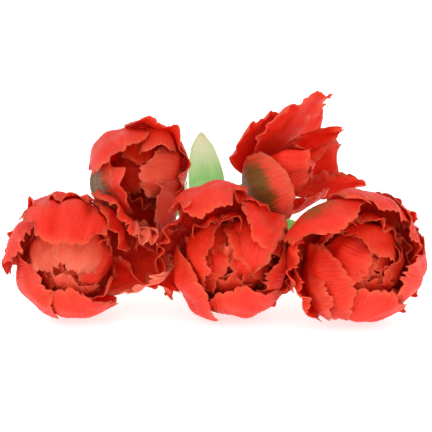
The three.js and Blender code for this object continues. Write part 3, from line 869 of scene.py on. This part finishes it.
def head_frame(head):
    """The flower's own axes in the row frame: right, up and the axis that it faces along."""
    yaw, rise = math.radians(head["yaw"]), math.radians(head["rise"])
    axis = Vector((math.sin(yaw) * math.cos(rise), -math.cos(yaw) * math.cos(rise), math.sin(rise)))
    right = Vector((0, 0, 1)).cross(axis).normalized()
    return Matrix((right, axis.cross(right), axis)).transposed()


def flame_field(row, fields):
    """Where the olive flame lies on the back of a petal: a tongue along its middle."""
    width = np.exp(-((fields["share"] / (0.3 + 0.22 * row["flame"])) ** 2))
    return row["flame"] * width * smooth(0.15, 0.35, fields["along"]) * smooth(0.95, 0.6, fields["along"])


def core_parts():
    """The socket, the three shoulders that carry the petals, the three-lobed pistil and the stamens."""
    polar = np.linspace(0.02, math.radians(LIP_ANGLE), LIP_STEPS)
    outline = [(SOCKET_RADIUS * math.sin(a), SOCKET_RADIUS * math.cos(a)) for a in polar]
    outline += CORE_OUTLINE
    radius, height = np.array(outline).T
    turn = np.linspace(0, 2 * math.pi, CORE_SIDES, endpoint=False)
    lobes = 1 + PISTIL_LOBE * np.cos(3 * turn) * smooth(19, 30, height)[:, None]
    rings = np.stack((
        radius[:, None] * np.cos(turn) * lobes,
        radius[:, None] * np.sin(turn) * lobes,
        np.broadcast_to(height[:, None], lobes.shape),
    ), axis=-1)
    return [ring_part(rings)] + [stamen_part(k) for k in range(STAMENS)]


def stamen_part(k):
    """A thin filament that leans outwards, with a thicker anther at its tip."""
    way = 2 * math.pi * (k + 0.5) / STAMENS
    run = np.linspace(0, 1, STAMEN_STEPS)
    reach = 3.4 + 4.4 * run**1.3
    line = np.stack((reach * math.cos(way), reach * math.sin(way), 15.5 + 17 * run), axis=1)
    anther = np.clip((run - FILAMENT_SHARE) / ANTHER_SHARE, 0, 1)
    thick = np.where(run < FILAMENT_SHARE, 0.8 - 0.25 * run, 0.65 + 0.95 * np.sin(anther * math.pi) ** 0.6)
    thick[[0, -1]] = 0.2
    side = np.tile((-math.sin(way), math.cos(way), 0), (STAMEN_STEPS, 1))
    up = np.tile((math.cos(way), math.sin(way), 0), (STAMEN_STEPS, 1))
    return ring_part(circle_rings(line, side, up, thick[:, None], STAMEN_SIDES))


def stem_line(pivot, axis, slot):
    """Evenly spaced points from the ball end's centre to the cut end."""
    bundle = np.array((slot[0], BUNDLE_START_Y, slot[1]))
    reach = BUNDLE_START_Y - pivot[1]
    knots = (pivot, pivot - axis * reach * FRONT_BEND, bundle - (0, reach * BACK_BEND, 0), bundle)
    t = np.linspace(0, 1, BEND_POINTS)[:, None]
    free = sum(c * (1 - t) ** (3 - k) * t**k * knots[k] for k, c in enumerate((1, 3, 3, 1)))
    dense = np.vstack((free, (slot[0], CUT_END_Y, slot[1])))
    run = np.concatenate(([0], np.cumsum(np.linalg.norm(np.diff(dense, axis=0), axis=1))))
    at = np.linspace(0, run[-1], PATH_POINTS)
    return np.stack([np.interp(at, run, dense[:, k]) for k in range(3)], axis=1), at


def stem_parts(line, at):
    """A ribbed tube with a ball at the flower's end and the wire's bore in the cut one."""
    side, up, ahead = line_frame(line)
    turn = np.linspace(0, 2 * math.pi, STEM_SIDES, endpoint=False)
    ribs = STEM_RIB * (1 + np.cos(7 * turn + 0.02 * at[:, None]))
    ribs += STEM_RIB * (1 + np.cos(3 * turn + at[:, None] / 31))
    ribs *= smooth(2, 12, at)[:, None]
    tube = circle_rings(line, side, up, STEM_RADIUS - ribs, STEM_SIDES)
    polar = np.linspace(0.05, math.pi / 2, BALL_STEPS, endpoint=False)
    centres = line[0] - ahead[0] * STEM_RADIUS * np.cos(polar)[:, None]
    caps = np.tile(side[0], (BALL_STEPS, 1)), np.tile(up[0], (BALL_STEPS, 1))
    ball = circle_rings(centres, *caps, (STEM_RADIUS * np.sin(polar))[:, None], STEM_SIDES)
    depths = np.array((0, 0, 0.3, 0.5 * BORE_DEPTH, BORE_DEPTH))
    widths = np.array((STEM_RADIUS - 0.3, WIRE_BORE + 0.15, WIRE_BORE, WIRE_BORE, WIRE_BORE))
    ends = np.tile(side[-1], (len(depths), 1)), np.tile(up[-1], (len(depths), 1))
    bore = circle_rings(line[-1] - ahead[-1] * depths[:, None], *ends, widths[:, None], STEM_SIDES)
    bore[0] += ahead[-1] * 0.15
    rings = np.concatenate((ball, tube, bore))
    along = np.concatenate((np.zeros(BALL_STEPS), at / at[-1], np.full(len(depths), 1.2)))
    return [ring_part(rings, along=along[:, None], around=np.cos(turn) * 3)]


def leaf_parts(row):
    """The blade, grown out of the wall of a collar round the stem."""
    points, fields = sheet_points(row)
    wall = mix(LEAF_THICKNESS, MARGIN_THICKNESS, smooth(0.6, 1, np.abs(fields["share"])))
    tone = row["seed"] * TONE_STEP
    fields["tone"] = np.full_like(points[..., 0], tone)
    outer = COLLAR_BORE + COLLAR_WALL
    section = [
        (COLLAR_BORE + 0.2, 0), (outer - 0.3, 0), (outer, 0.5),
        (outer, 7), (outer - 0.1, COLLAR_LENGTH - 1), (outer - 0.5, COLLAR_LENGTH),
        (COLLAR_BORE + 0.1, COLLAR_LENGTH), (COLLAR_BORE, COLLAR_LENGTH - 0.6),
        (COLLAR_BORE, 7), (COLLAR_BORE, 0.4),
    ]
    turn = np.linspace(0, 2 * math.pi, COLLAR_SIDES, endpoint=False)
    rings = np.array([
        np.stack((r * np.cos(turn), r * np.sin(turn), np.full_like(turn, z)), axis=1) for r, z in section
    ])
    collar = ring_part(rings, looped=True, along=0.02, across=np.cos(turn) * 4, tone=tone)
    return [sheet_part(points, wall, fields), collar]


def band_parts():
    """A flat band with chamfered edges and a shallow groove, drawn tight round the five stems."""
    radius = STEM_RADIUS + GAP + BAND_THICKNESS / 2
    corners = (("right", -90, 30), ("upper_right", 30, 90), ("upper_left", 90, 150), ("left", 150, 270))
    line, out = [], []
    for slot, start, end in corners:
        for angle in np.radians(np.linspace(start, end, BAND_CORNER_STEPS)):
            way = np.array((math.cos(angle), math.sin(angle)))
            line.append(np.array(HEADS[slot]["slot"]) + radius * way)
            out.append(way)
    line, out = np.array(line), np.array(out)
    half, thin, edge = BAND_WIDTH / 2, BAND_THICKNESS / 2, BAND_EDGE
    section = [
        (-half, -thin + edge), (-half, thin - edge), (-half + edge, thin),
        (-BAND_GROOVE_HALF, thin), (0, thin - BAND_GROOVE_DEPTH), (BAND_GROOVE_HALF, thin),
        (half - edge, thin), (half, thin - edge), (half, -thin + edge),
        (half - edge, -thin), (-half + edge, -thin),
    ]
    rings = []
    for (x, z), (out_x, out_z) in zip(line, out):
        rings.append([(x + out_x * b, BAND_Y + half + a, z + out_z * b) for a, b in section])
    return [ring_part(np.array(rings), looped=True)]


def leaf_matrix(leaf, line, at, to_frame):
    """Places a leaf's collar on the stem, with its axis towards the flower."""
    here = np.array([np.interp(leaf["back"], at, line[:, k]) for k in range(3)])
    ahead = np.array([np.interp(leaf["back"], at, -np.gradient(line[:, k], at)) for k in range(3)])
    forward = Vector(ahead).normalized()
    side = Vector(leaf["side"])
    side = (side - side.dot(forward) * forward).normalized()
    turned = Matrix((side, forward.cross(side), forward)).transposed().to_4x4()
    return to_frame @ Matrix.Translation(Vector(here) * MM) @ turned


def add_petals(name, head, place, seed):
    """One head's petals, each with the next seed; gives the last one's."""
    for petal_name, row in {**head["petals"], **head["ruffles"]}.items():
        seed += 1
        row = dict(row, seed=seed)
        points, fields = sheet_points(row)
        thickness = mix(PETAL_THICKNESS, MARGIN_THICKNESS, fields["edge"] ** MARGIN_THINNING)
        fields["feather"] = flame_field(row, fields)
        # Painted highlight towards the tip: pale lightens petals that lie in shade.
        fields["bloom"] = row["painted_tip_light"] * smooth(0.45, 0.95, fields["along"])
        fields["tone"] = np.full_like(fields["along"], seed * TONE_STEP)
        turned = place @ Matrix.Rotation(math.radians(row["az"]), 4, "Z")
        piece = joined(f"{name}_{petal_name}_petal", [sheet_part(points, thickness, fields)], turned)
        dress(piece, petal_material, f"head_{name}", "petal")
        if petal_name in head["petals"]:
            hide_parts(f"{name}_petal_{petal_name}")
    return seed


def add_flower(name, head, seed):
    """A head with its core, stem, leaf and wire; gives the seed of its last petal."""
    axes = head_frame(head)
    pivot = joint_places[head["joint"]]
    place = Matrix.Translation(pivot) @ axes.to_4x4()
    seed = add_petals(name, head, place, seed)
    piece = joined(f"{name}_pistil_and_socket", core_parts(), place)
    dress(piece, core_material, f"head_{name}", "flower_core", f"{name}_core")

    line, at = stem_line(np.array(pivot / MM - origin), np.array(axes.col[2]), head["slot"])
    piece = joined(f"{name}_long_stem", stem_parts(line, at), to_frame)
    dress(piece, stem_material, "stems", "stem", f"{name}_stem")

    leaf = dict(head["leaf"], seed=seed + LEAF_SEED)
    piece = joined(f"{name}_long_leaf", leaf_parts(leaf), leaf_matrix(leaf, line, at, to_frame))
    dress(piece, leaf_material, f"leaf_{name}", "leaf", f"{name}_leaf")

    wire = frame["nodes"][f"{name}_wire"]
    wire.data.materials.clear()
    wire.data.materials.append(wire_material)
    return seed


joint_places = {joint["name"]: Vector(joint["pos_m"]) for joint in frame["joints"]}
band_low, band_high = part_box("rubber_band")
band_x = (band_low[0] + band_high[0]) / 2
origin = Vector((band_x / MM - BUNDLE_X, band_low[1] / MM - BAND_Y, band_low[2] / MM))
to_frame = Matrix.Translation(origin * MM)
last_seed = SEED_BASE
for name, head in HEADS.items():
    last_seed = add_flower(name, head, last_seed)
piece = joined("band_round_the_stems", band_parts(), to_frame)
dress(piece, band_material, "stems", "band", "rubber_band")

# Stage

floor_corners = [(x * FLOOR_HALF, y * FLOOR_HALF, 0) for x, y in ((-1, -1), (1, -1), (1, 1), (-1, 1))]
floor = mesh_piece("floor", floor_corners, np.array([[0, 1, 2, 3]]))
floor.data.materials.append(floor_surface())


def studio_world():
    """White light from all round, and plain white wherever the camera, gloss or glass sees it."""
    world = bpy.data.worlds.new("studio")
    world.use_nodes = True
    tree = world.node_tree
    sky = tree.nodes["Background"]
    backdrop = tree.nodes.new("ShaderNodeBackground")
    for background, strength in ((sky, SKY_STRENGTH), (backdrop, BACKDROP_STRENGTH)):
        background.inputs["Color"].default_value = WHITE
        background.inputs["Strength"].default_value = strength
    rays = tree.nodes.new("ShaderNodeLightPath")
    seen = rays.outputs["Is Camera Ray"]
    for kind in ("Is Glossy Ray", "Is Transmission Ray"):
        either = tree.nodes.new("ShaderNodeMath")
        either.operation = "MAXIMUM"
        tree.links.new(seen, either.inputs[0])
        tree.links.new(rays.outputs[kind], either.inputs[1])
        seen = either.outputs[0]
    choose = tree.nodes.new("ShaderNodeMixShader")
    tree.links.new(seen, choose.inputs["Fac"])
    tree.links.new(sky.outputs[0], choose.inputs[1])
    tree.links.new(backdrop.outputs[0], choose.inputs[2])
    tree.links.new(choose.outputs[0], tree.nodes["World Output"].inputs["Surface"])
    return world


def lamp(name, place, size, power):
    """A round lamp that faces the middle of the heads, its place in metres from there."""
    data = bpy.data.lights.new(name, "AREA")
    data.shape = "DISK"
    data.size = size
    data.energy = power
    obj = bpy.data.objects.new(name, data)
    bpy.context.scene.collection.objects.link(obj)
    obj.location = view_target + Vector(place)
    obj.rotation_euler = (-Vector(place)).to_track_quat("-Z", "Y").to_euler()


view_target = (origin + Vector((0, 0, VIEW_HEIGHT))) * MM
bpy.context.scene.world = studio_world()
lamp("key", (-0.5, -0.9, 0.9), size=0.7, power=2.2)
lamp("front", (0.1, -1.1, 0.22), size=0.4, power=2.9)

camera_data = bpy.data.cameras.new("camera")
camera_data.sensor_width = SENSOR_WIDTH
camera_data.lens = LENS
camera_data.clip_start = CLIP_NEAR
camera_data.clip_end = CLIP_FAR
camera = bpy.data.objects.new("camera", camera_data)
bpy.context.scene.collection.objects.link(camera)
pitch = math.radians(VIEW_PITCH)
away = Vector((0, -math.cos(pitch), math.sin(pitch)))
camera.location = view_target + away * VIEW_DISTANCE
camera.rotation_euler = (-away).to_track_quat("-Z", "Y").to_euler()
bpy.context.scene.camera = camera
bpy.context.scene.view_settings.view_transform = "Standard"
